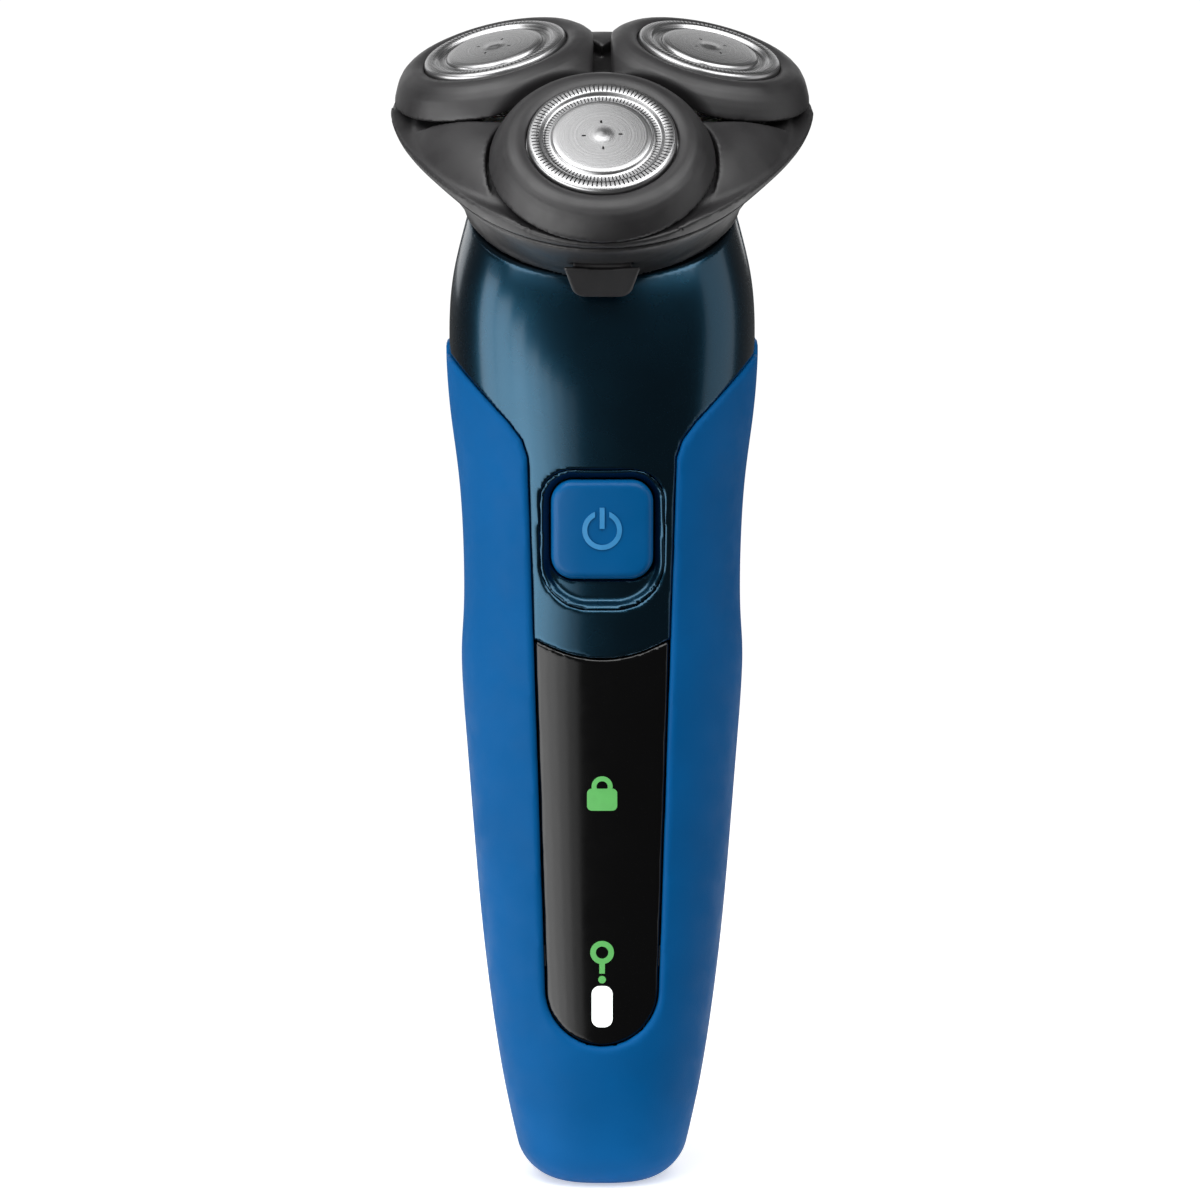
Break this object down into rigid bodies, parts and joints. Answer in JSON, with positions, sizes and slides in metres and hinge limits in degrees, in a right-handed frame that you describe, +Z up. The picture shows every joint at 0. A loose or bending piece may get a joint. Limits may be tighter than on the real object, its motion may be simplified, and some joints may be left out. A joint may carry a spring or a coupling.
{
  "type": "electric shaver",
  "caption": "Cordless rotary shaver: upright tapered grip handle with a forward-leaning head that holds tilting round cutters, a power button and a status display.",
  "frame": {"origin": "centre of the handle's flat foot, on the surface that it stands on", "axes": "+Z up along the handle, the button and the display face -Y, +X to the right seen from the front"},
  "size_m": [0.0605, 0.0563, 0.1691],
  "materials": {
    "soft_grip": "soft satin",
    "navy_gloss": "gloss",
    "black_gloss": "mirror gloss",
    "dark_satin": "satin",
    "button_blue": "satin",
    "symbol_blue": "lit",
    "icon_green": "lit",
    "icon_white": "lit",
    "guard_steel": "spun",
    "blade_steel": "ground",
    "bright_steel": "polished",
    "motor_steel": "zinc plated",
    "natural_plastic": "moulded",
    "grey_plastic": "moulded",
    "board_green": "lacquered",
    "black_part": "moulded",
    "seal_rubber": "matte",
    "cell_wrap": "shrink wrap",
    "nickel": "nickel plated",
    "magnet_black": "sintered",
    "copper": "enamelled"
  },
  "bodies": {
    "handle": {"grip_sleeve": "soft_grip", "front_cover": "navy_gloss", "rear_shell": "navy_gloss", "display_window": "black_gloss", "button_bezel": "navy_gloss", "lock_icon": "icon_green", "plug_icon": "icon_green", "battery_icon": "icon_white", "inner_frame": "grey_plastic", "circuit_board": "board_green", "indicator_leds": "icon_white", "power_switch": "black_part", "battery_cell": "cell_wrap", "battery_tabs": "nickel", "housing_screws": "bright_steel", "charging_socket": "black_part", "charging_pins": "nickel", "motor_can": "motor_steel", "motor_end_cap": "black_part", "motor_magnets": "magnet_black", "motor_bearings": "copper", "neck_collar": "dark_satin", "shaft_seal": "seal_rubber", "neck_gasket": "seal_rubber"},
    "rotor": {"motor_shaft": "bright_steel", "armature": "copper", "commutator": "copper", "drive_coupling": "natural_plastic"},
    "button": {"power_button": "button_blue", "power_symbol": "symbol_blue"},
    "shaving_unit": {"unit_base": "dark_satin", "gear_cover": "dark_satin", "coupling_ring": "natural_plastic", "hinge_pin": "bright_steel"},
    "release_catch": {"release_tab": "dark_satin"},
    "middle_gear": {"central_gear": "natural_plastic"},
    "holder": {"head_holder": "dark_satin"},
    "spindle_gear_1": {"drive_gear_1": "natural_plastic"},
    "spindle_1": {"drive_spindle_1": "natural_plastic", "spindle_spring_1": "bright_steel"},
    "head_1": {"head_ring_1": "dark_satin", "guard_1": "guard_steel", "retaining_frame_1": "dark_satin"},
    "blade_wheel_1": {"cutter_1": "blade_steel"},
    "spindle_gear_2": {"drive_gear_2": "natural_plastic"},
    "spindle_2": {"drive_spindle_2": "natural_plastic", "spindle_spring_2": "bright_steel"},
    "head_2": {"head_ring_2": "dark_satin", "guard_2": "guard_steel", "retaining_frame_2": "dark_satin"},
    "blade_wheel_2": {"cutter_2": "blade_steel"},
    "spindle_gear_3": {"drive_gear_3": "natural_plastic"},
    "spindle_3": {"drive_spindle_3": "natural_plastic", "spindle_spring_3": "bright_steel"},
    "head_3": {"head_ring_3": "dark_satin", "guard_3": "guard_steel", "retaining_frame_3": "dark_satin"},
    "blade_wheel_3": {"cutter_3": "blade_steel"}
  },
  "joints": [
    {"name": "motor_spin", "type": "hinge", "parent": "handle", "child": "rotor", "pos_m": [0, 0.00545, 0.13201], "axis": [0, -0.454, 0.891], "continuous": true},
    {"name": "button_press", "type": "slide", "parent": "handle", "child": "button", "axis": [0, 1, 0], "range_m": [0, 0.0005], "stiffness_N_per_m": 600, "springref_m": -0.001},
    {"name": "unit_pull_off", "type": "slide", "parent": "handle", "child": "shaving_unit", "axis": [0, -0.454, 0.891], "range_m": [0, 0.03]},
    {"name": "tab_press", "type": "hinge", "parent": "shaving_unit", "child": "release_catch", "pos_m": [0, -0.0247, 0.1345], "axis": [1, 0, 0], "range_deg": [0, 8], "stiffness_Nm_per_rad": 0.02, "springref_deg": -5.73},
    {"name": "middle_gear_spin", "type": "hinge", "parent": "shaving_unit", "child": "middle_gear", "pos_m": [0, -0.0034, 0.14938], "axis": [0, -0.454, 0.891], "continuous": true},
    {"name": "holder_open", "type": "hinge", "parent": "shaving_unit", "child": "holder", "pos_m": [0, 0.0197, 0.16329], "axis": [-1, 0, 0], "range_deg": [0, 100]},
    {"name": "gear_1_spin", "type": "hinge", "parent": "shaving_unit", "child": "spindle_gear_1", "pos_m": [0, -0.01811, 0.14189], "axis": [0, -0.454, 0.891], "continuous": true},
    {"name": "head_1_tilt", "type": "hinge", "parent": "holder", "child": "head_1", "pos_m": [0, -0.03267, 0.13755], "axis": [-1, 0, 0], "range_deg": [0, 5], "stiffness_Nm_per_rad": 0.04, "springref_deg": -14.32},
    {"name": "spindle_1_sink", "type": "slide", "parent": "spindle_gear_1", "child": "spindle_1", "axis": [0, 0.454, -0.891], "range_m": [0, 0.00135], "deforming": ["spindle_spring_1"]},
    {"name": "cutter_1_spin", "type": "hinge", "parent": "head_1", "child": "blade_wheel_1", "pos_m": [0, -0.02324, 0.15031], "axis": [0, -0.7009, 0.7133], "continuous": true},
    {"name": "gear_2_spin", "type": "hinge", "parent": "shaving_unit", "child": "spindle_gear_2", "pos_m": [0.01429, 0.00395, 0.15313], "axis": [0, -0.454, 0.891], "continuous": true},
    {"name": "head_2_tilt", "type": "hinge", "parent": "holder", "child": "head_2", "pos_m": [0.02743, 0.0091, 0.15971], "axis": [0.5, -0.7716, -0.3932], "range_deg": [0, 5], "stiffness_Nm_per_rad": 0.04, "springref_deg": -14.32},
    {"name": "spindle_2_sink", "type": "slide", "parent": "spindle_gear_2", "child": "spindle_2", "axis": [0, 0.454, -0.891], "range_m": [0, 0.00135], "deforming": ["spindle_spring_2"]},
    {"name": "cutter_2_spin", "type": "hinge", "parent": "head_2", "child": "blade_wheel_2", "pos_m": [0.01483, -0.00026, 0.16206], "axis": [0.2168, -0.328, 0.9195], "continuous": true},
    {"name": "gear_3_spin", "type": "hinge", "parent": "shaving_unit", "child": "spindle_gear_3", "pos_m": [-0.01429, 0.00395, 0.15313], "axis": [0, -0.454, 0.891], "continuous": true},
    {"name": "head_3_tilt", "type": "hinge", "parent": "holder", "child": "head_3", "pos_m": [-0.02743, 0.0091, 0.15971], "axis": [0.5, 0.7716, 0.3932], "range_deg": [0, 5], "stiffness_Nm_per_rad": 0.04, "springref_deg": -14.32},
    {"name": "spindle_3_sink", "type": "slide", "parent": "spindle_gear_3", "child": "spindle_3", "axis": [0, 0.454, -0.891], "range_m": [0, 0.00135], "deforming": ["spindle_spring_3"]},
    {"name": "cutter_3_spin", "type": "hinge", "parent": "head_3", "child": "blade_wheel_3", "pos_m": [-0.01483, -0.00026, 0.16206], "axis": [-0.2168, -0.328, 0.9195], "continuous": true}
  ],
  "couplings": [
    {"joint": "middle_gear_spin", "follows": "motor_spin", "ratio": 1},
    {"joint": "gear_1_spin", "follows": "motor_spin", "ratio": -0.73684},
    {"joint": "cutter_1_spin", "follows": "motor_spin", "ratio": -0.73684},
    {"joint": "spindle_1_sink", "follows": "head_1_tilt", "m_per_rad": 0.0152},
    {"joint": "gear_2_spin", "follows": "motor_spin", "ratio": -0.73684},
    {"joint": "cutter_2_spin", "follows": "motor_spin", "ratio": -0.73684},
    {"joint": "spindle_2_sink", "follows": "head_2_tilt", "m_per_rad": 0.0152},
    {"joint": "gear_3_spin", "follows": "motor_spin", "ratio": -0.73684},
    {"joint": "cutter_3_spin", "follows": "motor_spin", "ratio": -0.73684},
    {"joint": "spindle_3_sink", "follows": "head_3_tilt", "m_per_rad": 0.0152}
  ]
}
